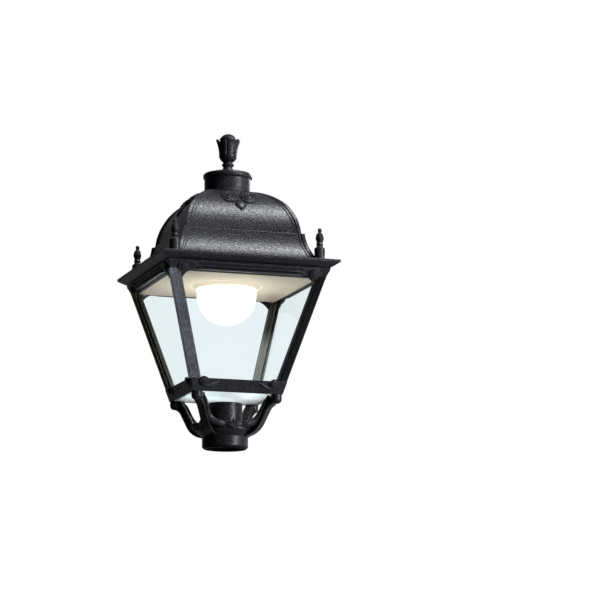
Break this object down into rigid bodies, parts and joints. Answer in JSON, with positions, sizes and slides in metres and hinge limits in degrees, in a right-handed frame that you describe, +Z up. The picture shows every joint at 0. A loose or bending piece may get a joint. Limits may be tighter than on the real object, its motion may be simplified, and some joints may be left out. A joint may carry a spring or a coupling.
{
  "type": "post lantern",
  "caption": "Square tapered glazed post lantern with scroll-arm base, socket collar, hinged domed roof, petal finial, corner finials and a globe bulb under a pale reflector.",
  "frame": {"origin": "centre of the socket mouth at the foot of the collar", "axes": "+Z up along the socket axis, -Y towards the front face, the hinge at the back on +Y"},
  "size_m": [0.2888, 0.2888, 0.5111],
  "materials": {
    "black_cast_paint": "textured satin",
    "clear_glass": "clear",
    "cream_enamel": "satin",
    "opal_globe": "opal",
    "holder_ceramic": "glazed",
    "terminal_plastic": "matt",
    "plain_steel": "zinc plated",
    "seal_rubber": "matt"
  },
  "bodies": {
    "cage": {"base_casting": "black_cast_paint", "set_screws": "plain_steel", "lower_rail": "black_cast_paint", "bottom_pane": "clear_glass", "upper_rail": "black_cast_paint", "roof_seal": "seal_rubber", "corner_post_front_left": "black_cast_paint", "corner_post_front_right": "black_cast_paint", "corner_post_back_right": "black_cast_paint", "corner_post_back_left": "black_cast_paint", "pane_front": "clear_glass", "pane_right": "clear_glass", "pane_back": "clear_glass", "pane_left": "clear_glass", "frame_hinge_leaves": "black_cast_paint", "hinge_pins": "plain_steel"},
    "roof": {"roof_shell": "black_cast_paint", "chimney": "black_cast_paint", "chimney_cap": "black_cast_paint", "finial": "black_cast_paint", "centre_rod": "plain_steel", "centre_nut": "plain_steel", "corner_finial_front_left": "black_cast_paint", "corner_finial_front_right": "black_cast_paint", "corner_finial_back_right": "black_cast_paint", "corner_finial_back_left": "black_cast_paint", "roof_hinge_leaves": "black_cast_paint", "reflector": "cream_enamel", "reflector_screws": "plain_steel", "globe_bulb": "opal_globe", "lampholder": "holder_ceramic", "lampholder_bracket": "plain_steel", "terminal_block": "terminal_plastic", "closing_springs": "plain_steel"}
  },
  "joints": [
    {"name": "roof_hinge", "type": "hinge", "parent": "cage", "child": "roof", "pos_m": [0, 0.137, 0.2716], "axis": [-1, 0, 0], "range_deg": [0, 100]}
  ]
}
